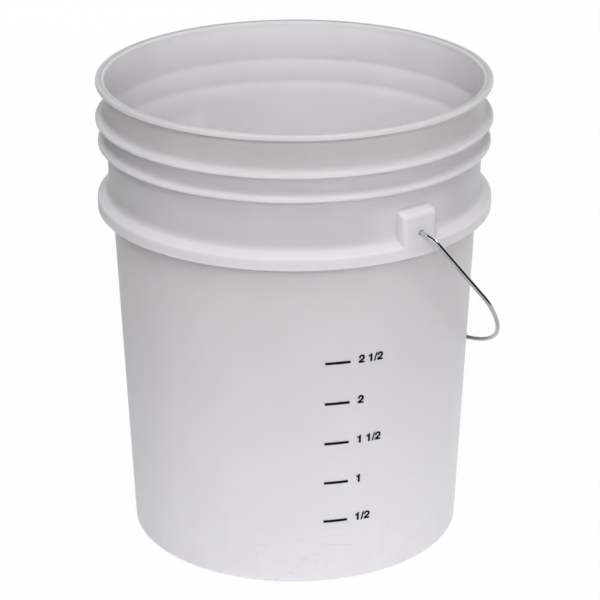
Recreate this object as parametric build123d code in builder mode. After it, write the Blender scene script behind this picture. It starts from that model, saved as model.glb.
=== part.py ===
from build123d import *
import math
import os

# An open plastic pail of about 19 litres with a wire bail.
# Millimetres, +Z up. The origin is on the pail's axis at the surface it stands on.
# The ears are on +X and -X, and the bail hangs on the +Y side.

# Moulding
pail_height = 370.6        # standing surface to the top of the lip
rim_diameter = 304.8       # outside of the lip
base_diameter = 259.8      # outside of the foot, before its edge is rounded
wall = 2.3                 # wall of the moulding
floor_thickness = 2.6
foot_depth = 13.0          # recess under the floor
foot_width = 4.6           # foot ring
foot_edge = 2.5            # rounding of the foot's outer edge
floor_corner = 7.0         # rounding inside, between floor and wall
recess_corner = 2.0        # rounding under the floor

# Lip
lip_height = 4.5
lip_reach = 5.2            # lip beyond the wall under it
lip_round = 1.5
flare_height = 11.0        # the wall opens out over this height inside the lip
flare_width = 0.8
flare_round = 90.0         # the flare grows gently out of the wall

# Lid rings
ring_thickness = 3.0
top_ring_drop = 29.0       # top of the lip to the top of the ring
top_ring_reach = 6.4       # ring beyond the wall above it
lower_ring_drop = 47.8
lower_ring_reach = 6.0
ring_rise = 1.2            # rise of its top back to the wall
ring_edge = 2.2            # rounding of its upper edge; the lower edge is sharp
ring_root = 3.5            # fillet where its top meets the wall
ring_step = 0.8            # the wall steps in below each ring
ledge_drop = 5.5           # underside of a ring to the foot of such a step inside
ledge_height = 6.0
ledge_fade = 75.0          # rounding at the foot of a step
neck_thicken = 0.4         # extra wall under the lower ring
neck_draft = 0.02          # taper of the wall above the skirt, mm per mm

# Skirt, an open channel under the neck
skirt_drop = 102.9         # top of the lip to the skirt's lower edge
skirt_face = 9.0           # height of its outer face
skirt_rise = 5.1           # rise of its sloping top
skirt_edge = 2.2
skirt_root = 6.0
skirt_step = 2.4           # neck to the wall below
gusset_count = 24
gusset_thickness = 1.8
gusset_inset = 1.2         # gussets stop short of the lower edge

# Ears
ear_width = 30.5
ear_rise = 15.2            # bail axis to the top of the ear's face
ear_slope = 3.4            # further rise back to the neck
ear_edge = 3.0
axis_rise = 17.8           # skirt's lower edge to the bail axis

# Bail
wire_diameter = 3.5
pin_clearance = 0.08       # radial, wire in the ears and in the grip
hook_gap = 1.3             # wire to the walls of the ear's pocket
hook_bend = 3.0            # bend radii are on the wire's centre line
hook_length = 8.0          # bail axis to the hook's end
leg_spread = 12.0          # ear's face to the leg's centre line
leg_bend = 4.0
leg_angle = 84.6           # slopes against the bail axis
corner_radius = 62.0
corner_angle = 68.0
shoulder_radius = 20.0
shoulder_angle = 22.4
bail_reach = 215.0         # bail axis to the middle of the bail

# Grip
grip_length = 74.0
grip_diameter = 20.0
grip_end_diameter = 10.5
grip_taper = 10.0          # length of each tapered end
grip_round = 1.6
grip_end_gap = 0.8         # grip to the shoulder bends
groove_count = 5
groove_pitch = 10.0
groove_depth = 0.9
groove_radius = 1.8
rest_gap = 0.4             # grip to the wall that it hangs against

# Heights
skirt_z = pail_height - skirt_drop
skirt_top_z = skirt_z + skirt_face
neck_z = skirt_top_z + skirt_rise
lower_ring_z = pail_height - lower_ring_drop - ring_thickness
top_ring_z = pail_height - top_ring_drop - ring_thickness
lip_z = pail_height - lip_height
floor_z = foot_depth + floor_thickness
axis_z = skirt_z + axis_rise

# Outer radii of the wall, from the lip down
base_r = base_diameter / 2
rim_r = rim_diameter / 2
band_top_r = rim_r - lip_reach
band_low_r = band_top_r - neck_draft * (lip_z - top_ring_z - ring_thickness)
mid_top_r = band_low_r - ring_step
mid_low_r = mid_top_r - neck_draft * (top_ring_z - lower_ring_z - ring_thickness)
neck_top_r = mid_low_r - ring_step
neck_low_r = neck_top_r - neck_draft * (lower_ring_z - neck_z)
wall_top_r = neck_low_r - skirt_step
taper = (wall_top_r - base_r) / skirt_z
top_ring_r = band_low_r + top_ring_reach
lower_ring_r = mid_low_r + lower_ring_reach

# The ear's pocket holds the wire's hook, and the skirt is flush with the ear's face
wire_r = wire_diameter / 2
hole_r = wire_r + pin_clearance
pocket_r = neck_top_r + hook_gap / 4
hook_r = pocket_r + hook_gap * 3 / 4 + wire_r
pocket_face_r = hook_r + wire_r + hook_gap
skirt_r = pocket_face_r + wall

# Channel under the skirt
channel_top_z = skirt_top_z - wall / 2
channel_neck_z = neck_z - skirt_step - wall / 2


def wall_r(z):
    return base_r + taper * z


# Cross-section of the moulding, outside from the foot to the lip, then inside to the floor
foot_outer = (base_r, 0)
skirt_low_outer = (skirt_r, skirt_z)
skirt_high_outer = (skirt_r, skirt_top_z)
neck_root = (neck_low_r, neck_z)
lower_ring_root_low = (neck_top_r, lower_ring_z)
lower_ring_low = (lower_ring_r, lower_ring_z)
lower_ring_high = (lower_ring_r, lower_ring_z + ring_thickness)
lower_ring_root = (mid_low_r, lower_ring_z + ring_thickness + ring_rise)
top_ring_root_low = (mid_top_r, top_ring_z)
top_ring_low = (top_ring_r, top_ring_z)
top_ring_high = (top_ring_r, top_ring_z + ring_thickness)
top_ring_root = (band_low_r, top_ring_z + ring_thickness + ring_rise)
lip_root = (band_top_r, lip_z)
lip_low = (rim_r, lip_z)
lip_outer = (rim_r, pail_height)
lip_inner = (band_top_r - wall + flare_width, pail_height)
flare_root = (band_top_r - wall, pail_height - flare_height)
ledge_1_high = (band_low_r - wall, top_ring_z - ledge_drop + ledge_height)
ledge_1_low = (mid_top_r - wall, top_ring_z - ledge_drop)
ledge_2_high = (mid_low_r - wall, lower_ring_z - ledge_drop + ledge_height)
ledge_2_low = (neck_top_r - wall - neck_thicken, lower_ring_z - ledge_drop)
neck_join = (wall_top_r - wall, skirt_z)
floor_edge = (wall_r(floor_z) - wall, floor_z)
recess_edge = (wall_r(foot_depth) - foot_width, foot_depth)
foot_inner = (base_r - foot_width, 0)
channel_low_wall = (wall_top_r, skirt_z)
channel_high_wall = (wall_r(channel_neck_z), channel_neck_z)
channel_high_face = (pocket_face_r, channel_top_z)
channel_low_face = (pocket_face_r, skirt_z)

outline = [
    foot_inner, foot_outer,
    channel_low_wall, channel_high_wall, channel_high_face, channel_low_face,
    skirt_low_outer, skirt_high_outer, neck_root,
    lower_ring_root_low, lower_ring_low, lower_ring_high, lower_ring_root,
    top_ring_root_low, top_ring_low, top_ring_high, top_ring_root,
    lip_root, lip_low, lip_outer, lip_inner, flare_root,
    ledge_1_high, ledge_1_low, ledge_2_high, ledge_2_low, neck_join,
    floor_edge, (0, floor_z), (0, foot_depth), recess_edge,
]
rounded = [
    (foot_edge, [foot_outer]),
    (skirt_edge, [skirt_high_outer]),
    (skirt_root, [neck_root]),
    (ring_root, [lower_ring_root, top_ring_root]),
    (ring_edge, [lower_ring_high, top_ring_high]),
    (lip_round, [lip_low, lip_outer, lip_inner]),
    (flare_round, [flare_root]),
    (ledge_fade, [ledge_1_low, ledge_2_low]),
    (floor_corner, [floor_edge]),
    (recess_corner, [recess_edge]),
]

# One gusset of the channel, reaching into the walls around it
gusset_in = wall_top_r - wall / 2
gusset_out = pocket_face_r + wall / 2
with BuildPart() as gusset:
    with BuildSketch(Plane.XZ):
        with BuildLine():
            Polyline(
                (gusset_in, skirt_z + gusset_inset),
                (gusset_out, skirt_z + gusset_inset),
                (gusset_out, channel_top_z + wall / 4),
                (gusset_in, channel_neck_z + wall / 4),
                close=True,
            )
        make_face()
    extrude(amount=gusset_thickness / 2, both=True)

# One ear: a block on the skirt's top, with its face on the skirt's cylinder
ear_half = ear_width / 2
ear_sag = neck_low_r - math.sqrt(neck_low_r**2 - ear_half**2)
ear_in = neck_low_r - wall / 2 - ear_sag / 2
ear_face_z = axis_z + ear_rise
ear_back_z = ear_face_z + ear_slope
ear_pitch = ear_slope / (skirt_r - neck_low_r)
with BuildPart() as ear:
    with BuildSketch(Plane.XZ):
        with BuildLine():
            Polyline(
                (ear_in, neck_z - wall / 2),
                (skirt_r + wall, skirt_top_z - wall / 2),
                (skirt_r + wall, ear_face_z - ear_pitch * wall),
                (ear_in, ear_back_z + ear_pitch * (neck_low_r - ear_in)),
                close=True,
            )
        make_face()
    extrude(amount=ear_half, both=True)
    with BuildSketch(Plane.XY):
        Circle(skirt_r)
    extrude(amount=pail_height, mode=Mode.INTERSECT)
    ear_top = ear.faces().sort_by(Axis.Z)[-1]
    face_edges = ear.edges().filter_by(Axis.Z).sort_by(Axis.X)[-2:]
    fillet(face_edges + ear_top.edges().sort_by(Axis.X)[1:], ear_edge)

# What is hollow in one ear: its pocket, open below, and the hole for the wire
with BuildPart() as ear_pocket:
    with BuildSketch(Plane.XZ):
        with BuildLine():
            Polyline(
                (pocket_r, skirt_z),
                (skirt_r, skirt_z),
                (skirt_r, ear_face_z - wall),
                (pocket_r, ear_face_z - wall + ear_pitch * (skirt_r - pocket_r)),
                close=True,
            )
        make_face()
    extrude(amount=ear_half - wall, both=True)
    with BuildSketch(Plane.XY):
        Circle(pocket_face_r)
    extrude(amount=pail_height, mode=Mode.INTERSECT)
    with BuildSketch(Plane.YZ.offset(hook_r)):
        with Locations((0, axis_z)):
            Circle(hole_r)
    extrude(amount=skirt_r - hook_r + wall)

with BuildPart() as pail_body:
    with BuildSketch(Plane.XZ) as section:
        with BuildLine():
            Polyline(*outline, close=True)
        make_face()
        for radius, corners in rounded:
            fillet([section.vertices().sort_by_distance(corner)[0] for corner in corners], radius)
    revolve(axis=Axis.Z)
    with PolarLocations(0, gusset_count, start_angle=180 / gusset_count):
        add(gusset.part)
    with PolarLocations(0, 2):
        add(ear.part)
    with PolarLocations(0, 2):
        add(ear_pocket.part, mode=Mode.SUBTRACT)
pail_body.part.label = "pail_body"

# The bail hangs with its grip just clear of the wall
draft_angle = math.atan(taper)
grip_r = grip_diameter / 2
stand_off = (base_r + taper * axis_z) * math.cos(draft_angle) + grip_r + rest_gap
hang_angle = math.asin(stand_off / bail_reach) - draft_angle
hang = (0, math.sin(hang_angle), -math.cos(hang_angle))
bail_plane = Plane((0, 0, axis_z), x_dir=(1, 0, 0), z_dir=(0, -hang[2], hang[1]))

# The bow's radius and the leg's length close the half bail between its middle and its ear
leg_a = math.radians(leg_angle)
corner_a = math.radians(corner_angle)
shoulder_a = math.radians(shoulder_angle)
middle_half = grip_length / 2 + grip_end_gap
leg_u = skirt_r + leg_spread
run_u = leg_u - middle_half - shoulder_radius * math.sin(shoulder_a)
run_u -= corner_radius * (math.sin(leg_a) - math.sin(corner_a))
run_v = bail_reach - leg_bend * (1 + math.cos(leg_a)) - shoulder_radius * (1 - math.cos(shoulder_a))
run_v -= corner_radius * (math.cos(corner_a) - math.cos(leg_a))
bow_u = math.sin(corner_a) - math.sin(shoulder_a)
bow_v = math.cos(shoulder_a) - math.cos(corner_a)
spread = bow_u * math.sin(leg_a) - bow_v * math.cos(leg_a)
bow_radius = (run_u * math.sin(leg_a) - run_v * math.cos(leg_a)) / spread
leg_length = (run_v * bow_u - run_u * bow_v) / spread

with BuildPart() as bail_wire:
    with BuildLine(bail_plane) as bail_path:
        middle = Line((0, bail_reach), (middle_half, bail_reach))
        shoulder = JernArc(middle @ 1, middle % 1, shoulder_radius, -shoulder_angle)
        bow = JernArc(shoulder @ 1, shoulder % 1, bow_radius, shoulder_angle - corner_angle)
        corner = JernArc(bow @ 1, bow % 1, corner_radius, corner_angle - leg_angle)
        leg = Line(corner @ 1, corner @ 1 + corner % 1 * leg_length)
        bend = JernArc(leg @ 1, leg % 1, leg_bend, leg_angle - 180)
        stub = Line(bend @ 1, (hook_r + hook_bend, 0))
        hook_turn = JernArc(stub @ 1, stub % 1, hook_bend, -90)
        hook = Line(hook_turn @ 1, (hook_r, -hook_length))
    with BuildSketch(Plane(middle @ 0, z_dir=middle % 0)):
        Circle(wire_r)
    sweep()
    mirror(about=Plane.YZ)
bail_wire.part.label = "bail_wire"

# The grip turns on the straight middle of the bail
grip_plane = Plane(middle @ 0, x_dir=(1, 0, 0), z_dir=bail_plane.z_dir)
grip_half = grip_length / 2
grip_end_r = grip_end_diameter / 2
with BuildPart() as hand_grip:
    with BuildSketch(grip_plane) as barrel:
        with BuildLine():
            Polyline(
                (-grip_half, hole_r),
                (-grip_half, grip_end_r),
                (grip_taper - grip_half, grip_r),
                (grip_half - grip_taper, grip_r),
                (grip_half, grip_end_r),
                (grip_half, hole_r),
                close=True,
            )
        make_face()
        ends = barrel.vertices().filter_by_position(Axis.Y, grip_end_r, grip_r)
        fillet(ends, grip_round)
        with Locations((0, grip_r + groove_radius - groove_depth)):
            with GridLocations(groove_pitch, 1, groove_count, 1):
                Circle(groove_radius, mode=Mode.SUBTRACT)
    revolve(axis=Axis(middle @ 0, (1, 0, 0)))
hand_grip.part.label = "hand_grip"

print("hang angle", round(math.degrees(hang_angle), 3), "swing", round(360 - 2 * math.degrees(hang_angle), 3))
print("bow radius", round(bow_radius, 2), "leg length", round(leg_length, 2))
print("axis height", round(axis_z, 3), "skirt radius", round(skirt_r, 3), "hook radius", round(hook_r, 3))

os.makedirs("parts", exist_ok=True)
export_step(pail_body.part, "parts/pail_body.step")
export_step(bail_wire.part, "parts/bail_wire.step")
export_step(hand_grip.part, "parts/hand_grip.step")
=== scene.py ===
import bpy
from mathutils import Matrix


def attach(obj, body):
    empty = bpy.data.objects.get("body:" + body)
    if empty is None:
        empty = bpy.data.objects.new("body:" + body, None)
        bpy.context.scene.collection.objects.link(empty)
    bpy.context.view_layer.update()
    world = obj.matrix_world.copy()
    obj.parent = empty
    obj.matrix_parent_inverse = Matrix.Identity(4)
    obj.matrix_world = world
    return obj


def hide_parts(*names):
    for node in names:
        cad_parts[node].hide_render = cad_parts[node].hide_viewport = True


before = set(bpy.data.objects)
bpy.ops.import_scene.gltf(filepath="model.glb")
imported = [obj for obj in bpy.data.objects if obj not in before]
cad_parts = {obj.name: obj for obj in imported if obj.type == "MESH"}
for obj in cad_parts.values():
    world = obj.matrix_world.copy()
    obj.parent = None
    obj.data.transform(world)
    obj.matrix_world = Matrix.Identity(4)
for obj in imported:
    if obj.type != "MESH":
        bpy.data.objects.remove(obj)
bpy.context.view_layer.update()        # the meshes from model.glb, laid in world space

import math
import bmesh
import bpy
from mathutils import Matrix, Vector

scene = bpy.context.scene
scene.view_settings.view_transform = "Standard"
mm = 0.001               # the dictionaries below hold millimetres and degrees
weldGap = 0.001          # points closer than this become one
sharpAngle = 38          # an edge that turns further shades sharp
print("frame loaded:", sorted(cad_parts))


# Camera, at the photograph's angle
cameraLook = {
    "azimuth": 52.6,     # round the pail, 0 looks along +Y
    "distance": 1850.0,  # from the pail's axis
    "height": 934.8,
    "pitch": 22.113,     # looking down
    "yaw": -0.129,
    "roll": -0.073,
    "lens": 150.87,
    "sensor": 36.0,
}


def makeCamera(look):
    data = bpy.data.cameras.new("photoCamera")
    data.lens = look["lens"]
    data.sensor_width = look["sensor"]
    camera = bpy.data.objects.new("photoCamera", data)
    around = math.radians(look["azimuth"])
    place = Vector((math.sin(around), -math.cos(around), 0)) * look["distance"] * mm
    place.z = look["height"] * mm
    turn = Matrix.Rotation(math.radians(look["azimuth"] + look["yaw"]), 4, "Z")
    turn = turn @ Matrix.Rotation(math.radians(90 - look["pitch"]), 4, "X")
    turn = turn @ Matrix.Rotation(math.radians(look["roll"]), 4, "Z")
    camera.matrix_world = Matrix.Translation(place) @ turn
    scene.collection.objects.link(camera)
    scene.camera = camera


makeCamera(cameraLook)
print("camera placed")


# Mesh helpers
def finishMesh(bm, name):
    bmesh.ops.remove_doubles(bm, verts=bm.verts, dist=weldGap * mm)
    bmesh.ops.recalc_face_normals(bm, faces=bm.faces)
    mesh = bpy.data.meshes.new(name)
    bm.to_mesh(mesh)
    bm.free()
    smoothMesh(mesh)
    piece = bpy.data.objects.new(name, mesh)
    scene.collection.objects.link(piece)
    return piece


def smoothMesh(mesh):
    mesh.shade_smooth()
    mesh.set_sharp_from_angle(angle=math.radians(sharpAngle))


def evenNormals(piece):
    even = piece.modifiers.new("evenNormals", "WEIGHTED_NORMAL")
    even.keep_sharp = True   # long faces lead, so flat walls stay flat beside a rounding
    return piece


def partsOf(geom, kind):
    return [part for part in geom if isinstance(part, kind)]


def turnMesh(bm, angle, axis):
    bmesh.ops.rotate(bm, verts=bm.verts, cent=(0, 0, 0), matrix=Matrix.Rotation(angle, 3, axis))


def roundedOutline(bm, corners, segments, closed=False):
    # corners are (across, along, rounding); the outline lies in the XZ plane
    verts = [bm.verts.new((across * mm, 0, along * mm)) for across, along, rounding in corners]
    chain = verts + verts[:1] if closed else verts
    for pair in zip(chain, chain[1:]):
        bm.edges.new(pair)
    offsets = []
    for index, (vert, corner) in enumerate(zip(verts, corners)):
        if corner[2] and (closed or 0 < index < len(verts) - 1):
            before, after = verts[index - 1].co, verts[(index + 1) % len(verts)].co
            turn = (vert.co - before).angle(after - vert.co)
            offsets.append((vert, corner[2] * mm * math.tan(turn / 2)))
    for vert, offset in offsets:
        bmesh.ops.bevel(bm, geom=[vert], offset=offset, segments=segments, profile=0.5,
                        affect="VERTICES", material=-1)


def splitLongEdges(bm, longest):
    for edge in list(bm.edges):
        cuts = int(edge.calc_length() / (longest * mm))
        if cuts:
            bmesh.ops.subdivide_edges(bm, edges=[edge], cuts=cuts)


def spinOutline(corners, segments, steps, longest):
    bm = bmesh.new()
    roundedOutline(bm, corners, segments)
    splitLongEdges(bm, longest)
    bmesh.ops.spin(bm, geom=bm.verts[:] + bm.edges[:], cent=(0, 0, 0), axis=(0, 0, 1),
                   angle=math.tau, steps=steps, use_merge=True)
    return bm


def blockOutline(bm, corners, halfWidth):
    # a flat outline in the XZ plane, given its width along Y
    verts = [bm.verts.new((across * mm, -halfWidth * mm, along * mm)) for across, along in corners]
    face = bm.faces.new(verts)
    grown = bmesh.ops.extrude_face_region(bm, geom=[face])
    moved = partsOf(grown["geom"], bmesh.types.BMVert)
    bmesh.ops.translate(bm, verts=moved, vec=(0, 2 * halfWidth * mm, 0))
    bmesh.ops.recalc_face_normals(bm, faces=bm.faces)


def bendToWall(bm, radius, halfWidth, cuts):
    # cut the block across its width and lay it on a cylinder round Z
    for step in range(1, cuts):
        side = (2 * step / cuts - 1) * halfWidth * mm
        bmesh.ops.bisect_plane(bm, geom=bm.verts[:] + bm.edges[:] + bm.faces[:],
                               plane_co=(0, side, 0), plane_no=(0, 1, 0))
    for vert in bm.verts:
        vert.co.x -= radius * mm - math.sqrt((radius * mm) ** 2 - vert.co.y ** 2)


def combine(piece, others, operation):
    for other in others:
        change = piece.modifiers.new(other.name, "BOOLEAN")
        change.operation = operation
        change.solver = "EXACT"
        change.object = other
    depsgraph = bpy.context.evaluated_depsgraph_get()
    joined = bpy.data.meshes.new_from_object(piece.evaluated_get(depsgraph))
    piece.modifiers.clear()
    piece.data = joined
    for other in others:
        bpy.data.objects.remove(other)


# Pail, one moulding: foot, tapered wall, skirt ring, two lid rings, lip and two hollow ears
pailForm = {
    "height": 370.6,
    "rimDiameter": 304.8,
    "baseDiameter": 259.8,
    "wall": 2.3,
    "floorThickness": 2.6,
    "footDepth": 13.0, "footWidth": 4.6, "footEdge": 2.5, "footInnerEdge": 0.6,
    "floorCorner": 7.0, "recessCorner": 2.0,
    "lipHeight": 4.5, "lipReach": 5.2, "lipRound": 1.5, "lipInnerRound": 2.3, "lipRoot": 0.7,
    "flareHeight": 11.0, "flareWidth": 0.8, "flareRound": 90.0,
    "ringThickness": 3.0, "ringEdge": 2.2, "ringLowEdge": 0.3, "ringRoot": 3.5,
    "ringLift": 1.2, "ringUnder": 0.6, "ringStep": 0.8,
    "topRingDrop": 29.0, "topRingReach": 6.4,
    "lowerRingDrop": 47.8, "lowerRingReach": 6.0,
    "ledgeHeight": 6.0, "ledgeDrop": 5.5, "lowerLedgeDrop": 5.5, "ledgeRound": 22.0, "ledgeFade": 60.0,
    "neckDraft": 0.02, "neckThicken": 0.4, "neckJoinRound": 2000.0,
    "skirtDrop": 102.9, "skirtFace": 9.0, "skirtRise": 5.1, "skirtEdge": 2.2, "skirtRoot": 6.0,
    "skirtLowEdge": 0.5, "skirtStep": 2.4,
    "gussetCount": 24, "gussetThickness": 1.8, "gussetInset": 1.2,
    "earWidth": 30.5, "earRise": 15.2, "earSlope": 3.4, "earEdge": 3.0, "earProud": 0.15,
    "earLift": 0.3,      # skirt's lower edge to the ear's
    "pocketSlack": 0.05, "pocketBelow": 1.0,
    "axisRise": 17.8,    # skirt's lower edge to the bail's axis
    "wireDiameter": 3.5, "holeDiameter": 4.3, "holePast": 3.0, "hookGap": 1.3,
    "steps": 240, "roundSegments": 5, "longestEdge": 14.0, "earCuts": 14, "holeSides": 40,
    "edgePick": 0.01,    # how close to a face an edge has to lie to be rounded with it
}


def pailSizes(form):
    size = dict(form)
    size["rimR"] = form["rimDiameter"] / 2
    size["baseR"] = form["baseDiameter"] / 2
    size["lipZ"] = form["height"] - form["lipHeight"]
    size["topRingZ"] = form["height"] - form["topRingDrop"] - form["ringThickness"]
    size["lowerRingZ"] = form["height"] - form["lowerRingDrop"] - form["ringThickness"]
    size["skirtZ"] = form["height"] - form["skirtDrop"]
    size["skirtTopZ"] = size["skirtZ"] + form["skirtFace"]
    size["neckZ"] = size["skirtTopZ"] + form["skirtRise"]
    size["axisZ"] = size["skirtZ"] + form["axisRise"]
    size["floorZ"] = form["footDepth"] + form["floorThickness"]
    draft, thick = form["neckDraft"], form["ringThickness"]
    size["bandTopR"] = size["rimR"] - form["lipReach"]
    size["bandLowR"] = size["bandTopR"] - draft * (size["lipZ"] - size["topRingZ"] - thick)
    size["midTopR"] = size["bandLowR"] - form["ringStep"]
    size["midLowR"] = size["midTopR"] - draft * (size["topRingZ"] - size["lowerRingZ"] - thick)
    size["neckTopR"] = size["midLowR"] - form["ringStep"]
    size["neckLowR"] = size["neckTopR"] - draft * (size["lowerRingZ"] - size["neckZ"])
    size["wallTopR"] = size["neckLowR"] - form["skirtStep"]
    size["taper"] = (size["wallTopR"] - size["baseR"]) / size["skirtZ"]
    wireR = form["wireDiameter"] / 2
    size["pocketR"] = size["neckTopR"] + form["hookGap"] / 4
    size["hookR"] = size["pocketR"] + form["hookGap"] * 3 / 4 + wireR
    size["pocketFaceR"] = size["hookR"] + wireR + form["hookGap"]
    size["skirtR"] = size["pocketFaceR"] + form["wall"]
    size["channelTopZ"] = size["skirtTopZ"] - form["wall"] / 2
    size["channelNeckZ"] = size["neckZ"] - form["skirtStep"] - form["wall"] / 2
    return size


pail = pailSizes(pailForm)


def wallRadius(height):
    return pail["baseR"] + pail["taper"] * height


def pailCorners(p):
    wall, thick = p["wall"], p["ringThickness"]
    topRingR = p["bandLowR"] + p["topRingReach"]
    lowerRingR = p["midLowR"] + p["lowerRingReach"]
    topLedge, lowerLedge = p["topRingZ"] - p["ledgeDrop"], p["lowerRingZ"] - p["lowerLedgeDrop"]
    return [
        (0, p["footDepth"], 0),
        (wallRadius(p["footDepth"]) - p["footWidth"], p["footDepth"], p["recessCorner"]),
        (p["baseR"] - p["footWidth"], 0, p["footInnerEdge"]),
        (p["baseR"], 0, p["footEdge"]),
        (wallRadius(p["channelNeckZ"]), p["channelNeckZ"], p["skirtLowEdge"]),
        (p["pocketFaceR"], p["channelTopZ"], p["skirtLowEdge"]),
        (p["pocketFaceR"], p["skirtZ"], p["skirtLowEdge"]),
        (p["skirtR"], p["skirtZ"], p["skirtLowEdge"]),
        (p["skirtR"], p["skirtTopZ"], p["skirtEdge"]),
        (p["neckLowR"], p["neckZ"], p["skirtRoot"]),
        (p["neckTopR"], p["lowerRingZ"], p["ringUnder"]),
        (lowerRingR, p["lowerRingZ"], p["ringLowEdge"]),
        (lowerRingR, p["lowerRingZ"] + thick, p["ringEdge"]),
        (p["midLowR"], p["lowerRingZ"] + thick + p["ringLift"], p["ringRoot"]),
        (p["midTopR"], p["topRingZ"], p["ringUnder"]),
        (topRingR, p["topRingZ"], p["ringLowEdge"]),
        (topRingR, p["topRingZ"] + thick, p["ringEdge"]),
        (p["bandLowR"], p["topRingZ"] + thick + p["ringLift"], p["ringRoot"]),
        (p["bandTopR"], p["lipZ"], p["lipRoot"]),
        (p["rimR"], p["lipZ"], p["lipRound"]),
        (p["rimR"], p["height"], p["lipRound"]),
        (p["bandTopR"] - wall + p["flareWidth"], p["height"], p["lipInnerRound"]),
        (p["bandTopR"] - wall, p["height"] - p["flareHeight"], p["flareRound"]),
        (p["bandLowR"] - wall, topLedge + p["ledgeHeight"], p["ledgeRound"]),
        (p["midTopR"] - wall, topLedge, p["ledgeFade"]),
        (p["midLowR"] - wall, lowerLedge + p["ledgeHeight"], p["ledgeRound"]),
        (p["neckTopR"] - wall - p["neckThicken"], lowerLedge, p["ledgeFade"]),
        (p["wallTopR"] - wall, p["skirtZ"], p["neckJoinRound"]),
        (wallRadius(p["floorZ"]) - wall, p["floorZ"], p["floorCorner"]),
        (0, p["floorZ"], 0),
    ]


def makeGussets(p):
    inner, outer = p["wallTopR"] - p["wall"] / 2, p["pocketFaceR"] + p["wall"] / 2
    low, rise = p["skirtZ"] + p["gussetInset"], p["wall"] / 4
    bm = bmesh.new()
    blockOutline(bm, [(inner, low), (outer, low), (outer, p["channelTopZ"] + rise),
                      (inner, p["channelNeckZ"] + rise)], p["gussetThickness"] / 2)
    pitch = math.tau / p["gussetCount"]
    first = bm.verts[:] + bm.edges[:] + bm.faces[:]
    turnMesh(bm, pitch / 2, "Z")
    bmesh.ops.spin(bm, geom=first, cent=(0, 0, 0), axis=(0, 0, 1), angle=math.tau - pitch,
                   steps=p["gussetCount"] - 1, use_duplicate=True)
    return finishMesh(bm, "gussets")


def earBlock(p, inner, outer, low, faceTop, halfWidth, edge):
    slope = p["earSlope"] / (p["skirtR"] - p["neckLowR"])
    bm = bmesh.new()
    blockOutline(bm, [(inner, low), (outer, low), (outer, faceTop),
                      (inner, faceTop + slope * (outer - inner))], halfWidth)
    face, top = (outer - p["edgePick"]) * mm, (faceTop - p["edgePick"]) * mm
    atFace = [e for e in bm.edges if min(v.co.x for v in e.verts) > face]
    atTop = [e for e in bm.edges if min(v.co.z for v in e.verts) > top]
    rounded = [e for e in atFace if e in atTop]
    rounded += [e for e in atTop if abs(e.verts[0].co.x - e.verts[1].co.x) > mm]
    rounded += [e for e in atFace if abs(e.verts[0].co.z - e.verts[1].co.z) > mm]
    if edge:
        bmesh.ops.bevel(bm, geom=rounded, offset=edge * mm, segments=p["roundSegments"], profile=0.5,
                        affect="EDGES", material=-1)
    bendToWall(bm, outer, halfWidth, p["earCuts"])
    return bm


def makeEar(p, side):
    bm = earBlock(p, p["neckLowR"] - p["wall"] / 2, p["skirtR"] + p["earProud"], p["skirtZ"] + p["earLift"],
                  p["axisZ"] + p["earRise"], p["earWidth"] / 2, p["earEdge"])
    turnMesh(bm, side, "Z")
    return finishMesh(bm, "ear")


def makePocket(p, side):
    bm = earBlock(p, p["pocketR"], p["pocketFaceR"] - p["pocketSlack"], p["skirtZ"] - p["pocketBelow"],
                  p["axisZ"] + p["earRise"] - p["wall"], p["earWidth"] / 2 - p["wall"], 0)
    turnMesh(bm, side, "Z")
    return finishMesh(bm, "earPocket")


def makeWireHole(p, side):
    holeR, outer = p["holeDiameter"] / 2 * mm, p["skirtR"] + p["holePast"]
    through = Matrix.Translation(((p["hookR"] + outer) / 2 * mm, 0, p["axisZ"] * mm))
    bm = bmesh.new()
    bmesh.ops.create_cone(bm, cap_ends=True, segments=p["holeSides"], radius1=holeR, radius2=holeR,
                          depth=(outer - p["hookR"]) * mm,
                          matrix=through @ Matrix.Rotation(math.pi / 2, 4, "Y"))
    turnMesh(bm, side, "Z")
    return finishMesh(bm, "wireHole")


def makePail(p):
    bm = spinOutline(pailCorners(p), p["roundSegments"], p["steps"], p["longestEdge"])
    piece = finishMesh(bm, "pailMoulding")
    sides = [0, math.pi]
    combine(piece, [makeGussets(p)] + [makeEar(p, side) for side in sides], "UNION")
    combine(piece, [makePocket(p, side) for side in sides] + [makeWireHole(p, side) for side in sides],
            "DIFFERENCE")
    smoothMesh(piece.data)
    return evenNormals(piece)


pailPiece = makePail(pail)
print("pail moulded:", len(pailPiece.data.polygons), "faces")


# Bail, one bent wire whose ends hook into the ears
bailForm = {
    "wireDiameter": 3.48, "sides": 28, "arcStep": 5.0, "arcLeast": 3,
    "hookBend": 3.0, "hookLength": 8.0, "endEdge": 0.5, "endSegments": 3,
    "legSpread": 11.64, "legBend": 7.5, "legAngle": 84.6,
    "cornerRadius": 62.0, "cornerAngle": 68.0,
    "shoulderRadius": 20.0, "shoulderAngle": 22.4,
    "reach": 215.0,
    "restGap": 0.4,
    "runLength": 10.0,
}

# Grip, a roller on the straight middle of the bail
gripForm = {
    "length": 74.0, "diameter": 19.98, "endDiameter": 10.5, "taper": 10.0, "edge": 1.6,
    "endGap": 0.8, "boreClearance": 0.08, "boreEdge": 0.3,
    "grooveCount": 5, "groovePitch": 10.0, "grooveDepth": 0.9, "grooveWidth": 3.1, "grooveRound": 0.6,
    "grooveFloor": 0.35,     # flat share of a groove's width
    "steps": 96, "roundSegments": 4, "longestEdge": 6.0,
}


def hangAngle(bail, grip):
    draft = math.atan(pail["taper"])
    standOff = wallRadius(pail["axisZ"]) * math.cos(draft) + grip["diameter"] / 2 + bail["restGap"]
    return math.asin(standOff / bail["reach"]) - draft


hang = hangAngle(bailForm, gripForm)


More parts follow.
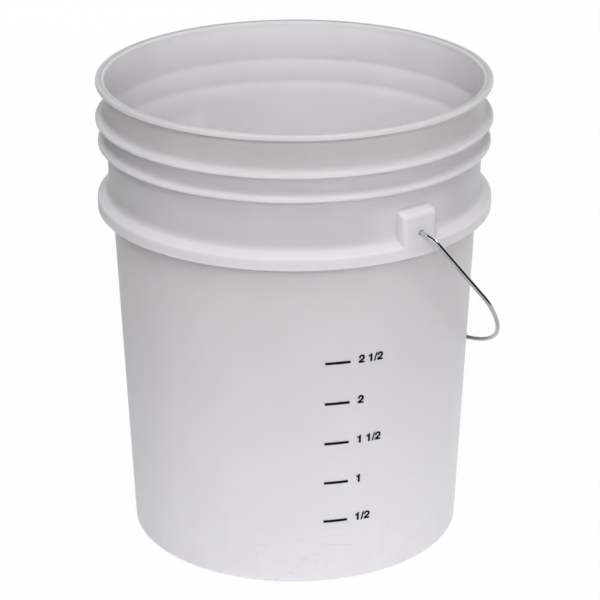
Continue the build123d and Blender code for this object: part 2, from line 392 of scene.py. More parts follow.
def wirePath(bail, grip):
    # the half bail from its middle to the hook, as straight runs and arcs that turn left or right
    leg, corner, shoulder = (math.radians(bail[key + "Angle"]) for key in ("leg", "corner", "shoulder"))
    half = grip["length"] / 2 + grip["endGap"]
    legU = pail["skirtR"] + bail["legSpread"]
    runU = legU - half - bail["shoulderRadius"] * math.sin(shoulder)
    runU -= bail["cornerRadius"] * (math.sin(leg) - math.sin(corner))
    runV = bail["reach"] - bail["legBend"] * (1 + math.cos(leg))
    runV -= bail["shoulderRadius"] * (1 - math.cos(shoulder))
    runV -= bail["cornerRadius"] * (math.cos(corner) - math.cos(leg))
    bowU = math.sin(corner) - math.sin(shoulder)
    bowV = math.cos(shoulder) - math.cos(corner)
    spread = bowU * math.sin(leg) - bowV * math.cos(leg)
    bowRadius = (runU * math.sin(leg) - runV * math.cos(leg)) / spread
    legLength = (runV * bowU - runU * bowV) / spread
    bendEnd = legU - bail["legBend"] * math.sin(leg)
    return [
        ("run", half),
        ("arc", bail["shoulderRadius"], -shoulder),
        ("arc", bowRadius, shoulder - corner),
        ("arc", bail["cornerRadius"], corner - leg),
        ("run", legLength),
        ("arc", bail["legBend"], leg - math.pi),
        ("run", bendEnd - pail["hookR"] - bail["hookBend"]),
        ("arc", bail["hookBend"], -math.pi / 2),
        ("run", bail["hookLength"] - bail["hookBend"]),
    ]


def makeBail(bail, grip):
    bm = bmesh.new()
    point, heading = Vector((0, bail["reach"] * mm, 0)), 0.0
    start = Matrix.Translation(point) @ Matrix.Rotation(math.pi / 2, 4, "Y")
    bmesh.ops.create_circle(bm, segments=bail["sides"], radius=bail["wireDiameter"] / 2 * mm, matrix=start)
    ring = bm.edges[:]
    for step in wirePath(bail, grip):
        if step[0] == "run":
            pieces = max(1, round(step[1] / bail["runLength"]))
            move = Vector((math.cos(heading), math.sin(heading), 0)) * step[1] * mm / pieces
            for count in range(pieces):
                grown = bmesh.ops.extrude_edge_only(bm, edges=ring)
                ring = partsOf(grown["geom"], bmesh.types.BMEdge)
                bmesh.ops.translate(bm, verts=list({v for e in ring for v in e.verts}), vec=move)
                point = point + move
        else:
            radius, turn = step[1] * mm, step[2]
            aside = Vector((-math.sin(heading), math.cos(heading), 0)) * math.copysign(radius, turn)
            centre = point + aside
            verts = list({v for e in ring for v in e.verts})
            steps = max(bail["arcLeast"], math.ceil(abs(math.degrees(turn)) / bail["arcStep"]))
            spun = bmesh.ops.spin(bm, geom=verts + ring, cent=centre, axis=(0, 0, 1), angle=turn,
                                  steps=steps)
            ring = partsOf(spun["geom_last"], bmesh.types.BMEdge)
            point = centre + Matrix.Rotation(turn, 3, "Z") @ (point - centre)
            heading += turn
    cap = bmesh.ops.edgeloop_fill(bm, edges=ring)["faces"]
    bmesh.ops.bevel(bm, geom=cap[0].edges[:], offset=bail["endEdge"] * mm, segments=bail["endSegments"],
                    profile=0.5, affect="EDGES", material=-1)
    bmesh.ops.mirror(bm, geom=bm.verts[:] + bm.edges[:] + bm.faces[:], matrix=Matrix.Identity(4),
                     merge_dist=weldGap * mm, axis="X")
    bmesh.ops.transform(bm, matrix=bailPlace(), verts=bm.verts)
    return finishMesh(bm, "bailWire")


def bailPlace():
    # the flat bail's Y axis turned to hang down on the +Y side
    swing = Matrix.Rotation(hang - math.pi / 2, 4, "X")
    return Matrix.Translation((0, 0, pail["axisZ"] * mm)) @ swing


bailPiece = makeBail(bailForm, gripForm)
gripMiddle = bailPlace() @ Vector((0, bailForm["reach"] * mm, 0))
print("bail bent:", len(bailPiece.data.polygons), "faces")


def gripCorners(grip):
    half, bore = grip["length"] / 2, pail["wireDiameter"] / 2 + grip["boreClearance"]
    outer, end, edge, flat = grip["diameter"] / 2, grip["endDiameter"] / 2, grip["edge"], grip["grooveFloor"]
    corners = [(bore, -half, grip["boreEdge"]), (end, -half, edge), (outer, grip["taper"] - half, edge)]
    for index in range(grip["grooveCount"]):
        middle = (index - (grip["grooveCount"] - 1) / 2) * grip["groovePitch"]
        for side, depth in ((-1, 0), (-flat, 1), (flat, 1), (1, 0)):
            corners.append((outer - depth * grip["grooveDepth"], middle + side * grip["grooveWidth"] / 2,
                            grip["grooveRound"]))
    corners += [(outer, half - grip["taper"], edge), (end, half, edge), (bore, half, grip["boreEdge"])]
    return corners


def makeGrip(grip):
    corners = gripCorners(grip)
    bm = spinOutline(corners + [corners[0]], grip["roundSegments"], grip["steps"], grip["longestEdge"])
    turnMesh(bm, math.pi / 2, "Y")
    bmesh.ops.translate(bm, verts=bm.verts, vec=gripMiddle)
    return evenNormals(finishMesh(bm, "handGrip"))


gripPiece = makeGrip(gripForm)
print("grip turned:", len(gripPiece.data.polygons), "faces")


# Printed scale on the wall: plain ticks and numbers
scaleForm = {
    "marks": [("2 1/2", 187.0), ("2", 153.3), ("1 1/2", 119.7), ("1", 86.1), ("1/2", 52.9)],
    "tickFrom": -28.0, "tickTo": -19.9,    # degrees round the wall from the ear
    "tickHeight": 2.08, "tickCuts": 16,
    "numberFrom": -17.2,
    "numberHeight": 6.5, "numberDrop": 2.2, "numberSegments": 6,
    "tilt": -0.5,
    "inkDepth": 0.06,
}


def layOnWall(bm, ink, fromAngle, height):
    # flat X and Y become the way round the wall and the way up it
    tilt = math.radians(ink["tilt"])
    for vert in bm.verts:
        along, up, lift = vert.co
        rise = up * math.cos(tilt) + along * math.sin(tilt)
        z = height * mm + rise
        radius = wallRadius(z / mm) * mm + lift
        angle = math.radians(fromAngle) + along / (wallRadius(height) * mm)
        vert.co = (radius * math.cos(angle), radius * math.sin(angle), z)


def makeTick(ink, height):
    bm = bmesh.new()
    length = math.radians(ink["tickTo"] - ink["tickFrom"]) * wallRadius(height) * mm
    bmesh.ops.create_grid(bm, x_segments=ink["tickCuts"], y_segments=1, size=0.5,
                          matrix=Matrix.Diagonal((length, ink["tickHeight"] * mm, 1, 1)))
    bmesh.ops.translate(bm, verts=bm.verts, vec=(length / 2, 0, 0))
    thickenInk(bm, ink)
    layOnWall(bm, ink, ink["tickFrom"], height)
    return bm


def thickenInk(bm, ink):
    bmesh.ops.recalc_face_normals(bm, faces=bm.faces)
    grown = bmesh.ops.extrude_face_region(bm, geom=bm.faces[:])
    raised = partsOf(grown["geom"], bmesh.types.BMVert)
    bmesh.ops.translate(bm, verts=bm.verts, vec=(0, 0, -ink["inkDepth"] * mm))
    bmesh.ops.translate(bm, verts=raised, vec=(0, 0, 2 * ink["inkDepth"] * mm))


# outlines of the three signs that the numbers need, on a height of 1, with the way on to the next
numberSigns = {
    "1": {"advance": 0.77, "corners": [
        (0.27, 0, 0), (0.53, 0, 0), (0.53, 1.02, 0), (0.345, 1.02, 0), (0.305, 0.86, 0.12), (0.06, 0.84, 0),
        (0.06, 0.65, 0), (0.27, 0.65, 0)]},
    "2": {"advance": 0.77, "corners": [
        (0.005, 0, 0), (0.725, 0, 0), (0.725, 0.22, 0), (0.355, 0.22, 0.03), (0.755, 0.50, 0.20),
        (0.755, 1.035, 0.34), (0.005, 1.035, 0.34), (0.005, 0.61, 0), (0.245, 0.61, 0),
        (0.245, 0.805, 0.10), (0.495, 0.805, 0.10), (0.495, 0.60, 0.09), (0.005, 0.25, 0.10)]},
    "/": {"advance": 0.40, "corners": [
        (-0.025, -0.02, 0), (0.16, -0.02, 0), (0.415, 1.02, 0), (0.23, 1.02, 0)]},
    " ": {"advance": 0.40, "corners": []},
}


def makeNumber(ink, words, height):
    bm = bmesh.new()
    along, tall = 0.0, ink["numberHeight"]
    for sign in words:
        shape = numberSigns[sign]
        if shape["corners"]:
            drawn = bmesh.new()
            outline = [(tall * x, tall * y, tall * rounding) for x, y, rounding in shape["corners"]]
            roundedOutline(drawn, outline, ink["numberSegments"], True)
            bmesh.ops.triangle_fill(drawn, edges=drawn.edges[:], use_beauty=True)
            turnMesh(drawn, -math.pi / 2, "X")
            bmesh.ops.translate(drawn, verts=drawn.verts,
                                vec=(along * tall * mm, -ink["numberDrop"] * mm, 0))
            thickenInk(drawn, ink)
            addCopy(bm, drawn)
        along += shape["advance"]
    layOnWall(bm, ink, ink["numberFrom"], height)
    return bm


def addCopy(bm, drawn):
    mesh = bpy.data.meshes.new("drawn")
    drawn.to_mesh(mesh)
    drawn.free()
    bm.from_mesh(mesh)
    bpy.data.meshes.remove(mesh)


def makeScale(ink):
    pieces = []
    for index, (words, height) in enumerate(ink["marks"]):
        pieces.append(finishMesh(makeTick(ink, height), "scaleTick%d" % (index + 1)))
        pieces.append(finishMesh(makeNumber(ink, words, height), "scaleNumber%d" % (index + 1)))
    return pieces


scalePieces = makeScale(scaleForm)
print("scale printed:", len(scalePieces), "marks")


# Finishes
def addNode(tree, kind, sockets=None, **settings):
    # sockets takes a number or colour to set, or another node's output to link
    node = tree.nodes.new(kind)
    for key, value in settings.items():
        setattr(node, key, value)
    for key, value in (sockets or {}).items():
        if isinstance(value, bpy.types.NodeSocket):
            tree.links.new(value, node.inputs[key])
        else:
            node.inputs[key].default_value = value
    return node


def maths(tree, operation, *values):
    return addNode(tree, "ShaderNodeMath", dict(enumerate(values)), operation=operation).outputs[0]


def ramp(tree, value, low, high, start=0.0, end=1.0):
    # start at low and end at high, eased at both ends
    limits = {"Value": value, "From Min": low, "From Max": high, "To Min": start, "To Max": end}
    node = addNode(tree, "ShaderNodeMapRange", limits, interpolation_type="SMOOTHSTEP")
    return node.outputs["Result"]


def band(tree, value, low, lowFull, highFull, high):
    # 1 between the two full values, easing to 0 at the outer ones, in millimetres
    rise = ramp(tree, value, low * mm, lowFull * mm)
    return maths(tree, "MINIMUM", rise, ramp(tree, value, high * mm, highFull * mm))


def fade(tree, value, limits):
    # 0 at the first limit and 1 at the second, in millimetres
    return ramp(tree, value, limits[0] * mm, limits[1] * mm)


def mixColour(tree, share, first, second, blend="MIX"):
    node = addNode(tree, "ShaderNodeMix", data_type="RGBA", blend_type=blend)
    for key, value in ((0, share), (6, first), (7, second)):
        if isinstance(value, bpy.types.NodeSocket):
            tree.links.new(value, node.inputs[key])
        else:
            node.inputs[key].default_value = value if key == 0 else (*value, 1)
    return node.outputs[2]


def newGroup(name, scales, outputs):
    # a group that takes a place and a scale for each pattern, and puts out masks
    group = bpy.data.node_groups.new(name, "ShaderNodeTree")
    group.interface.new_socket("Vector", in_out="INPUT", socket_type="NodeSocketVector")
    for key in scales:
        group.interface.new_socket(key, in_out="INPUT", socket_type="NodeSocketFloat")
    for key in outputs:
        group.interface.new_socket(key, in_out="OUTPUT", socket_type="NodeSocketFloat")
    return group, group.nodes.new("NodeGroupInput").outputs, group.nodes.new("NodeGroupOutput")


def addNoise(tree, vector, scale, detail):
    noise = addNode(tree, "ShaderNodeTexNoise", {"Vector": vector, "Scale": scale, "Detail": detail})
    return noise.outputs[0]


def stretch(tree, vector, factors):
    return addNode(tree, "ShaderNodeVectorMath", {0: vector, 1: factors}, operation="MULTIPLY").outputs[0]


# cloudy paleness, streaks from the mould's draw, and a fine grain, each about 0.5
skinForm = {"details": {"Cloud": 3.0, "Streak": 2.0, "Grain": 1.0}, "draw": (1, 1, 0.06)}


def makeMouldedSkin(form):
    group, given, result = newGroup("mouldedSkin", form["details"], form["details"])
    drawn = stretch(group, given["Vector"], form["draw"])
    for key, detail in form["details"].items():
        vector = drawn if key == "Streak" else given["Vector"]
        group.links.new(addNoise(group, vector, given[key], detail), result.inputs[key])
    return group


# short fine scratches in patches, 0 to 1
marksForm = {
    "patchDetail": 2.0, "patchFade": (0.52, 0.66),
    "lineDetail": 1.0, "lineFade": (0.66, 0.72),
    "turns": (0.5, -0.9), "axis": (0.4, 0.6, 0.7), "long": (1, 0.05, 1),
}


def makeHandlingMarks(form):
    group, given, result = newGroup("handlingMarks", ["Scratch", "Patch"], ["Marks"])
    patches = ramp(group, addNoise(group, given["Vector"], given["Patch"], form["patchDetail"]),
                   *form["patchFade"])
    total = None
    for turn in form["turns"]:
        turned = addNode(group, "ShaderNodeVectorRotate",
                         {"Vector": given["Vector"], "Axis": form["axis"], "Angle": turn},
                         rotation_type="AXIS_ANGLE").outputs[0]
        drawn = stretch(group, turned, form["long"])
        scratches = addNoise(group, drawn, given["Scratch"], form["lineDetail"])
        lines = ramp(group, scratches, *form["lineFade"])
        total = lines if total is None else maths(group, "MAXIMUM", total, lines)
    group.links.new(maths(group, "MULTIPLY", total, patches), result.inputs["Marks"])
    return group


mouldedSkin = makeMouldedSkin(skinForm)
handlingMarks = makeHandlingMarks(marksForm)


def newMaterial(name):
    material = bpy.data.materials.new(name)
    material.use_nodes = True
    tree = material.node_tree
    return material, tree, tree.nodes["Principled BSDF"]


def placeGroup(tree, group, vector, **values):
    node = addNode(tree, "ShaderNodeGroup", node_tree=group)
    tree.links.new(vector, node.inputs["Vector"])
    for key, value in values.items():
        node.inputs[key].default_value = value
    return node.outputs


def skinMaterial(name, look):
    # a material with its place on the piece and the skin's masks
    material, tree, surface = newMaterial(name)
    place = addNode(tree, "ShaderNodeTexCoord").outputs["Object"]
    skin = placeGroup(tree, mouldedSkin, place, Cloud=look["cloud"], Streak=look["streak"],
                      Grain=look["grain"])
    return material, tree, surface, place, skin


def addMarks(tree, place, look):
    return placeGroup(tree, handlingMarks, place, Scratch=look["scratch"], Patch=look["patch"])["Marks"]


def axisDistance(tree, across, along):
    flat = addNode(tree, "ShaderNodeCombineXYZ", {"X": across, "Y": along}).outputs[0]
    return addNode(tree, "ShaderNodeVectorMath", {0: flat}, operation="LENGTH").outputs["Value"]


def aboutOne(tree, mask, share):
    return maths(tree, "MULTIPLY_ADD", mask, share * 2, 1 - share)


def shadeColour(tree, colour, shade):
    grey = addNode(tree, "ShaderNodeCombineColor", {0: shade, 1: shade, 2: shade}).outputs[0]
    return mixColour(tree, 1.0, colour, grey, "MULTIPLY")


def setGrain(tree, surface, look, relief):
    bump = addNode(tree, "ShaderNodeBump", {"Strength": look["grainStrength"],
                                            "Distance": look["grainHeight"] * mm, "Height": relief})
    tree.links.new(bump.outputs[0], surface.inputs["Normal"])


def setPlastic(surface, look):
    surface.inputs["IOR"].default_value = look["ior"]
    surface.inputs["Specular IOR Level"].default_value = look["gloss"]
    surface.inputs["Subsurface Weight"].default_value = look["subsurface"]
    surface.inputs["Subsurface Radius"].default_value = look["scatterTint"]
    surface.inputs["Subsurface Scale"].default_value = look["scatter"] * mm


# natural polyethylene, with painted light and shade: paler where the moulding is thick (partly its own
# whiteness, partly painted light), painted light towards the white floor and inside, painted shade on the
# neck and under the lip
pailLook = {
    "wallColour": (0.655, 0.639, 0.653), "paintedFloorLightColour": (0.782, 0.769, 0.804),
    "paintedFloorLightFade": (20.0, 265.0), "footDrift": 30.0,    # heights between which the painted floor light fades and the wall darkens, and their waver
    # painted shade: the neck above the skirt darker
    "neckPaintedShadeColour": (0.597, 0.584, 0.6), "neckPaintedShadeFade": 10.0,
    # painted shade: the band under the lip darker
    "topBandPaintedShadeColour": (0.552, 0.53, 0.541), "topBandPaintedShadeFade": (4.0, 13.0),
    "rootPaintedGlowColour": (0.80, 0.787, 0.805),              # painted glow beside thick places, with how far it shows
    "rootBelow": 8.0, "rootFull": 0.5, "skirtBelow": 14.0, "skirtFull": 1.0, "edgePast": 1.0,
    "earAround": 32.0, "earAbove": 12.0, "earPaintedGlow": 0.42, "lipPaintedGlow": 0.33,
    # skirt and rings paler: partly the thick plastic's own whiteness, partly painted light
    "ringColour": (0.675, 0.662, 0.68), "skirtColour": (0.708, 0.695, 0.719),
    "thickAndPaintedLightFade": (1.9, 5.0),                         # how far beyond the wall's line
    # painted light on the upper faces of the skirt and ears
    "topFacePaintedLightColour": (0.84, 0.826, 0.85), "topFacePaintedLightShare": 0.5,
    "earTopBand": (-1.5, 0.5, 4.0, 8.0), "skirtTopShare": 0.5, "skirtTopBelow": 4.0, "skirtTopEase": 3.0,
    # painted light inside: paler than the outer wall, paler still low down and under the lip's flare
    "insidePaintedLightColour": (0.755, 0.743, 0.763), "insideFade": (-0.1, -0.4),
    "insideLowPaintedLightColour": (0.92, 0.91, 0.925), "insideLowPaintedLightFade": (215.0, 130.0),
    "flarePaintedLightColour": (0.79, 0.778, 0.798), "flareFade": (24.0, 5.0), "flareStep": 1.25,
    # painted light on the inside behind each ear
    "earBackPaintedLightColour": (0.88, 0.87, 0.89), "earBackPaintedLightShare": 0.5, "earBackSide": (20.0, 8.0),
    "earBackOuter": 5.0, "earBackInner": 6.0,
    "scuffColour": (0.60, 0.585, 0.58), "scuffFade": (60.0, 4.0), "scuffShare": (0.12, 0.5),
    "cloud": 26.0, "streak": 70.0, "grain": 900.0, "cloudShare": 0.04, "streakShare": 0.015,
    "scratch": 420.0, "patch": 14.0, "scuffRough": 0.12,
    "roughness": 0.42, "roughSpread": 0.08, "grainHeight": 0.02, "grainStrength": 0.5,
    "ior": 1.5, "gloss": 0.12, "subsurface": 1.0, "scatter": 3.0, "scatterTint": (1, 0.98, 0.96),
}
earTop, halfEar = pail["axisZ"] + pail["earRise"], pail["earWidth"] / 2


def underEdge(tree, height, edge, below, full, past):
    return band(tree, height, edge - below, edge - full, edge, edge + past)


def paintedRootGlow(tree, side, height, look):
    # painted glow on the wall beside each ring, under the skirt and round the ears, for light through the
    # thick plastic
    below, full, past = look["rootBelow"], look["rootFull"], look["edgePast"]
    roots = underEdge(tree, height, pail["skirtZ"], look["skirtBelow"], look["skirtFull"], past)
    for ring in (pail["topRingZ"], pail["lowerRingZ"]):
        roots = maths(tree, "MAXIMUM", roots, underEdge(tree, height, ring, below, full, past))
    underLip = underEdge(tree, height, pail["lipZ"], below, full, past)
    roots = maths(tree, "MAXIMUM", roots, maths(tree, "MULTIPLY", underLip, look["lipPaintedGlow"]))
    earNear = maths(tree, "MULTIPLY", fade(tree, side, (halfEar + look["earAround"], halfEar)),
                    band(tree, height, pail["skirtTopZ"], pail["neckZ"], earTop, earTop + look["earAbove"]))
    return maths(tree, "MAXIMUM", roots, maths(tree, "MULTIPLY", earNear, look["earPaintedGlow"]))


def wallColour(tree, side, height, cloud, look):
    # painted floor light: the wall paler towards the foot
    drift = maths(tree, "MULTIPLY_ADD", cloud, look["footDrift"] * mm, height)
    colour = mixColour(tree, fade(tree, drift, look["paintedFloorLightFade"]), look["paintedFloorLightColour"], look["wallColour"])
    # painted shade on the neck
    neck = fade(tree, height, (pail["skirtTopZ"], pail["neckZ"] + look["neckPaintedShadeFade"]))
    colour = mixColour(tree, neck, colour, look["neckPaintedShadeColour"])
    # painted shade under the lip
    low, lowFull = (pail["topRingZ"] + rise for rise in look["topBandPaintedShadeFade"])
    topBand = band(tree, height, low, lowFull, pail["lipZ"], pail["lipZ"] + look["edgePast"])
    colour = mixColour(tree, topBand, colour, look["topBandPaintedShadeColour"])
    # painted glow beside the rings, skirt, lip and ears
    return mixColour(tree, paintedRootGlow(tree, side, height, look), colour, look["rootPaintedGlowColour"])


def thickAndPaintedLightColour(tree, side, height, look):
    # skirt, ears, rings and lip, paler partly in the thick plastic's own colour and partly in painted light,
    # with painted light on the upper faces of skirt and ears
    earBand = [earTop + rise for rise in look["earTopBand"]]
    thick = mixColour(tree, fade(tree, height, earBand[2:]), look["skirtColour"], look["ringColour"])
    # painted light on the skirt's upper face beside the ears and on the ears' tops
    ease = look["skirtTopEase"]
    besideEar = ramp(tree, side, halfEar * mm, (halfEar + ease) * mm, 0, look["skirtTopShare"])
    skirtTop = band(tree, height, pail["skirtTopZ"] - look["skirtTopBelow"], pail["skirtTopZ"],
                    pail["neckZ"] - ease, pail["neckZ"])
    skirtTop = maths(tree, "MULTIPLY", besideEar, skirtTop)
    topFace = maths(tree, "MAXIMUM", skirtTop, band(tree, height, *earBand))
    share = maths(tree, "MULTIPLY", topFace, look["topFacePaintedLightShare"])
    return mixColour(tree, share, thick, look["topFacePaintedLightColour"])


def insidePaintedLightColour(tree, side, height, flare, look):
    # painted light under the lip's flare
    inside = mixColour(tree, flare, look["insidePaintedLightColour"], look["flarePaintedLightColour"])
    deep = fade(tree, height, look["insideLowPaintedLightFade"])     # painted light, for light coming through the wall there
    inside = mixColour(tree, deep, inside, look["insideLowPaintedLightColour"])
    # painted light behind each ear
    outer, inner = look["earBackOuter"], look["earBackInner"]
    earBack = maths(tree, "MULTIPLY", fade(tree, side, look["earBackSide"]),
                    band(tree, height, pail["skirtZ"] - outer, pail["skirtZ"] + inner,
                         earTop - inner, earTop + outer))
    share = maths(tree, "MULTIPLY", earBack, look["earBackPaintedLightShare"])
    return mixColour(tree, share, inside, look["earBackPaintedLightColour"])


def pailMaterial(look):
    material, tree, surface, place, skin = skinMaterial("pailPlastic", look)
    marks = addMarks(tree, place, look)
    parts = addNode(tree, "ShaderNodeSeparateXYZ", {0: place}).outputs
    height, side = parts["Z"], maths(tree, "ABSOLUTE", parts["Y"])
    wallLine = maths(tree, "MULTIPLY_ADD", height, pail["taper"], pail["baseR"] * mm)
    proud = maths(tree, "SUBTRACT", axisDistance(tree, parts["X"], parts["Y"]), wallLine)

    # thick places paler, partly in their own colour and partly in painted light
    colour = mixColour(tree, fade(tree, proud, look["thickAndPaintedLightFade"]),
                       wallColour(tree, side, height, skin["Cloud"], look),
                       thickAndPaintedLightColour(tree, side, height, look))
    flare = fade(tree, height, [pail["height"] - drop for drop in look["flareFade"]])
    inner = maths(tree, "SUBTRACT", proud, maths(tree, "MULTIPLY", flare, look["flareStep"] * mm))
    # painted light inside the pail
    colour = mixColour(tree, fade(tree, inner, look["insideFade"]), colour,
                       insidePaintedLightColour(tree, side, height, flare, look))

    low, high = look["scuffFade"]
    scuffs = maths(tree, "MULTIPLY", marks, ramp(tree, height, low * mm, high * mm, *look["scuffShare"]))
    colour = mixColour(tree, scuffs, colour, look["scuffColour"])
    shade = maths(tree, "MULTIPLY", aboutOne(tree, skin["Cloud"], look["cloudShare"]),
                  aboutOne(tree, skin["Streak"], look["streakShare"]))
    tree.links.new(shadeColour(tree, colour, shade), surface.inputs["Base Color"])
    spread = look["roughSpread"]
    rough = maths(tree, "MULTIPLY_ADD", skin["Streak"], spread * 2, look["roughness"] - spread)
    tree.links.new(maths(tree, "MULTIPLY_ADD", marks, look["scuffRough"], rough), surface.inputs["Roughness"])
    setGrain(tree, surface, look, skin["Grain"])
    setPlastic(surface, look)
    return material


# white roller: grey in its grooves, with the mould's parting line along both sides
gripLook = {
    "colour": (0.80, 0.80, 0.79), "grooveColour": (0.62, 0.615, 0.60), "grooveFrom": 0.1,
    "scuffColour": (0.52, 0.51, 0.49), "scuffShare": 0.4, "scuffRough": 0.2,
    "partingWidth": 0.35, "partingShare": 0.35, "partingRelief": 2.0,
    "cloud": 60.0, "streak": 160.0, "grain": 1100.0, "cloudShare": 0.04,
    "scratch": 700.0, "patch": 50.0,
    "roughness": 0.42, "grainHeight": 0.03, "grainStrength": 0.6,
    "ior": 1.5, "gloss": 0.4, "subsurface": 0.4, "scatter": 1.5, "scatterTint": (1, 0.98, 0.96),
}


def gripMaterial(look):
    material, tree, surface, place, skin = skinMaterial("gripPlastic", look)
    marks = addMarks(tree, place, look)
    local = addNode(tree, "ShaderNodeMapping", {"Vector": place, "Location": -gripMiddle}).outputs[0]
    parts = addNode(tree, "ShaderNodeSeparateXYZ", {0: local}).outputs
    outer = gripForm["diameter"] / 2
    groove = fade(tree, axisDistance(tree, parts["Y"], parts["Z"]),
                  (outer - look["grooveFrom"], outer - gripForm["grooveDepth"]))
    groove = maths(tree, "MULTIPLY", groove, skin["Cloud"])
    colour = mixColour(tree, groove, look["colour"], look["grooveColour"])
    parting = fade(tree, maths(tree, "ABSOLUTE", parts["Z"]), (look["partingWidth"], 0))
    line = maths(tree, "MULTIPLY", parting, look["partingShare"])
    colour = mixColour(tree, line, colour, look["grooveColour"])
    scuffs = maths(tree, "MULTIPLY", marks, look["scuffShare"])
    colour = mixColour(tree, scuffs, colour, look["scuffColour"])
    shade = aboutOne(tree, skin["Cloud"], look["cloudShare"])
    tree.links.new(shadeColour(tree, colour, shade), surface.inputs["Base Color"])
    rough = maths(tree, "MULTIPLY_ADD", marks, look["scuffRough"], look["roughness"])
    tree.links.new(rough, surface.inputs["Roughness"])
    setGrain(tree, surface, look, maths(tree, "MULTIPLY_ADD", parting, look["partingRelief"], skin["Grain"]))
    setPlastic(surface, look)
    return material


# bright zinc on drawn wire, duller in patches, with a painted dark reflection low on the bow and a painted
# highlight beside the ears
wireLook = {
    "colour": (0.46, 0.468, 0.482), "dullColour": (0.32, 0.326, 0.336), "dullFade": (0.42, 0.68),
    "bowPaintedDarkReflectionColour": (0.22, 0.225, 0.234), "bowPaintedDarkReflectionFade": (212.0, 178.0),        # heights at rest between which the bow is painted darker, a painted dark reflection
    "stubPaintedHighlightColour": (0.68, 0.686, 0.7), "stubPaintedHighlightFade": (274.0, 283.0),        # painted highlight beside the ears
    "cloud": 70.0, "streak": 260.0, "grain": 1500.0, "spangle": 420.0,
    "scratch": 900.0, "patch": 60.0, "scuffShare": 0.7,
    "roughness": 0.07, "dullRough": 0.1, "streakRough": 0.04, "grainHeight": 0.003, "grainStrength": 0.5,
}


def wireMaterial(look):
    material, tree, surface, place, skin = skinMaterial("wireZinc", look)
    marks = addMarks(tree, place, look)
    spangle = addNode(tree, "ShaderNodeTexVoronoi", {"Vector": place, "Scale": look["spangle"]})
    dull = maths(tree, "MULTIPLY", ramp(tree, skin["Cloud"], *look["dullFade"]), spangle.outputs["Color"])
    dull = maths(tree, "MAXIMUM", dull, maths(tree, "MULTIPLY", marks, look["scuffShare"]))
    height = addNode(tree, "ShaderNodeSeparateXYZ", {0: place}).outputs["Z"]
    zinc = mixColour(tree, dull, look["colour"], look["dullColour"])
    # painted dark reflection low on the bow
    zinc = mixColour(tree, fade(tree, height, look["bowPaintedDarkReflectionFade"]), zinc, look["bowPaintedDarkReflectionColour"])
    # painted highlight on the wire beside the ears
    zinc = mixColour(tree, fade(tree, height, look["stubPaintedHighlightFade"]), zinc, look["stubPaintedHighlightColour"])
    tree.links.new(zinc, surface.inputs["Base Color"])
    rough = maths(tree, "MULTIPLY_ADD", dull, look["dullRough"], look["roughness"])
    rough = maths(tree, "MULTIPLY_ADD", skin["Streak"], look["streakRough"], rough)
    tree.links.new(rough, surface.inputs["Roughness"])
    setGrain(tree, surface, look, skin["Grain"])
    surface.inputs["Metallic"].default_value = 1
    return material


# screen-printed ink, thinner in specks
inkLook = {
    "colour": (0.004, 0.004, 0.005), "thinColour": (0.025, 0.024, 0.025),
    "thinGrain": (0.50, 0.72), "thinCloud": (0.40, 0.65), "thinRough": 0.2,
    "cloud": 160.0, "streak": 300.0, "grain": 2600.0,
    "roughness": 0.5, "ior": 1.45, "gloss": 0.1, "grainHeight": 0.008, "grainStrength": 0.4,
}


def inkMaterial(look):
    material, tree, surface, place, skin = skinMaterial("scaleInk", look)
    thin = maths(tree, "MULTIPLY", ramp(tree, skin["Grain"], *look["thinGrain"]),
                 ramp(tree, skin["Cloud"], *look["thinCloud"]))
    tree.links.new(mixColour(tree, thin, look["colour"], look["thinColour"]), surface.inputs["Base Color"])
    rough = maths(tree, "MULTIPLY_ADD", thin, look["thinRough"], look["roughness"])
    tree.links.new(rough, surface.inputs["Roughness"])
    setGrain(tree, surface, look, skin["Grain"])
    surface.inputs["IOR"].default_value = look["ior"]
    surface.inputs["Specular IOR Level"].default_value = look["gloss"]
    return material


for piece, body, node, slot, material in (
        (pailPiece, "pail", "pail_body", "pail_plastic", pailMaterial(pailLook)),
        (bailPiece, "bail", "bail_wire", "wire_steel", wireMaterial(wireLook)),
        (gripPiece, "grip", "hand_grip", "grip_plastic", gripMaterial(gripLook))):
    piece.data.materials.clear()
    piece.data.materials.append(material)
    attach(piece, body)
    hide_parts(node)

scaleInk = inkMaterial(inkLook)
for piece in scalePieces:
    piece.data.materials.append(scaleInk)
    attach(piece, "pail")
print("finishes set")


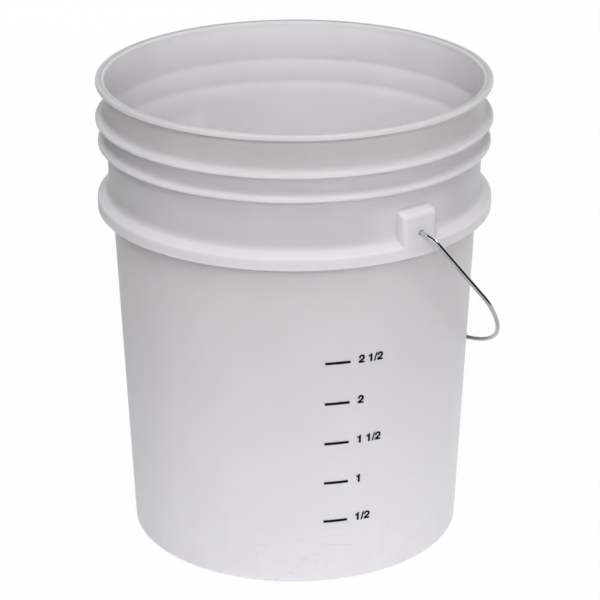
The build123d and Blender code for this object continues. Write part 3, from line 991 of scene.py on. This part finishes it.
# Studio: pale floor, white surround and soft boxes
studio = {
    "floorSize": 8000.0, "floorSides": 64, "floorColour": (0.92, 0.92, 0.92), "floorGlow": 0.97,
    "floorRoughness": 0.9, "floorGloss": 0.1,
    "cardSides": 96, "cardColour": (0.03, 0.03, 0.03),
    "aim": (0, 0, 200.0),
}
darkCards = [            # unlit parts of the studio that the wire mirrors
    {"name": "roomCard", "azimuth": 52.6, "distance": 3200, "rise": 1120, "size": 10000, "flat": False},
    {"name": "floorCard", "azimuth": 112, "distance": 3340, "rise": 1, "size": 6000, "flat": True},
]
softBoxes = [            # azimuth as the camera's, elevation above the aim, power in watts
    {"name": "frontBox", "azimuth": 52.6, "elevation": 35, "distance": 2600, "size": 1200, "power": 34.9,
     "mirrored": False},
    {"name": "highBox", "azimuth": 52.6, "elevation": 62, "distance": 2600, "size": 1200, "power": 15.6,
     "mirrored": False},
    {"name": "rightBox", "azimuth": 128, "elevation": 14, "distance": 1800, "size": 900, "power": 5.3,
     "mirrored": True},
    {"name": "leftBox", "azimuth": 0, "elevation": 56, "distance": 1800, "size": 900, "power": 3.8,
     "mirrored": False},
    {"name": "backRightBox", "azimuth": 195, "elevation": 5, "distance": 2400, "size": 1200, "power": 19.0,
     "mirrored": False},
    {"name": "backLeftBox", "azimuth": 247, "elevation": 18, "distance": 2400, "size": 1200, "power": 20.0,
     "mirrored": False},
    {"name": "floorBounce", "azimuth": 0, "elevation": -90, "distance": 199, "size": 1200, "power": 0.76,
     "mirrored": False},
]


def backdropShare(tree):
    # rays that should see plain white: the camera's, and those in metal and glass
    path = addNode(tree, "ShaderNodeLightPath").outputs
    seen = maths(tree, "MAXIMUM", path["Is Camera Ray"], path["Is Glossy Ray"])
    return maths(tree, "MAXIMUM", seen, path["Is Transmission Ray"])


def makeFloor(look):
    bm = bmesh.new()
    bmesh.ops.create_circle(bm, cap_ends=True, segments=look["floorSides"],
                            radius=look["floorSize"] / 2 * mm)
    floor = finishMesh(bm, "studioFloor")
    material, tree, surface = newMaterial("studioFloorWhite")
    surface.inputs["Base Color"].default_value = (*look["floorColour"], 1)
    surface.inputs["Roughness"].default_value = look["floorRoughness"]
    surface.inputs["Specular IOR Level"].default_value = look["floorGloss"]
    glow = addNode(tree, "ShaderNodeEmission", {"Strength": 1.0})
    share = maths(tree, "MULTIPLY", backdropShare(tree), look["floorGlow"])
    mix = addNode(tree, "ShaderNodeMixShader", {0: share, 1: surface.outputs[0], 2: glow.outputs[0]})
    tree.links.new(mix.outputs[0], tree.nodes["Material Output"].inputs["Surface"])
    floor.data.materials.append(material)


def makeDarkCard(card, look):
    around = math.radians(card["azimuth"])
    away = Vector((math.sin(around), -math.cos(around), 0)) * card["distance"] * mm
    away.z = card["rise"] * mm
    turn = Matrix.Identity(4) if card["flat"] else away.to_track_quat("Z", "Y").to_matrix().to_4x4()
    bm = bmesh.new()
    bmesh.ops.create_circle(bm, cap_ends=True, segments=look["cardSides"], radius=card["size"] / 2 * mm,
                            matrix=Matrix.Translation(away) @ turn)
    panel = finishMesh(bm, card["name"])
    material, tree, surface = newMaterial(card["name"] + "Grey")
    surface.inputs["Base Color"].default_value = (*look["cardColour"], 1)
    surface.inputs["Roughness"].default_value = 1
    surface.inputs["Specular IOR Level"].default_value = 0
    panel.data.materials.append(material)
    panel.visible_camera = panel.visible_diffuse = panel.visible_shadow = panel.visible_transmission = False


def makeWorld():
    world = bpy.data.worlds.new("studioWorld")
    world.use_nodes = True
    tree = world.node_tree
    white = tree.nodes["Background"]
    white.inputs["Color"].default_value = (1, 1, 1, 1)
    tree.links.new(backdropShare(tree), white.inputs["Strength"])
    scene.world = world


def makeSoftBox(box, aim):
    data = bpy.data.lights.new(box["name"], "AREA")
    data.shape = "DISK"
    data.size = box["size"] * mm
    data.energy = box["power"]
    lamp = bpy.data.objects.new(box["name"], data)
    around, up = math.radians(box["azimuth"]), math.radians(box["elevation"])
    away = Vector((math.sin(around) * math.cos(up), -math.cos(around) * math.cos(up), math.sin(up)))
    lamp.location = Vector(aim) * mm + away * box["distance"] * mm
    lamp.rotation_euler = away.to_track_quat("Z", "Y").to_euler()
    lamp.visible_glossy = box["mirrored"]
    scene.collection.objects.link(lamp)


makeFloor(studio)
for card in darkCards:
    makeDarkCard(card, studio)
makeWorld()
for box in softBoxes:
    makeSoftBox(box, studio["aim"])
print("studio lit")
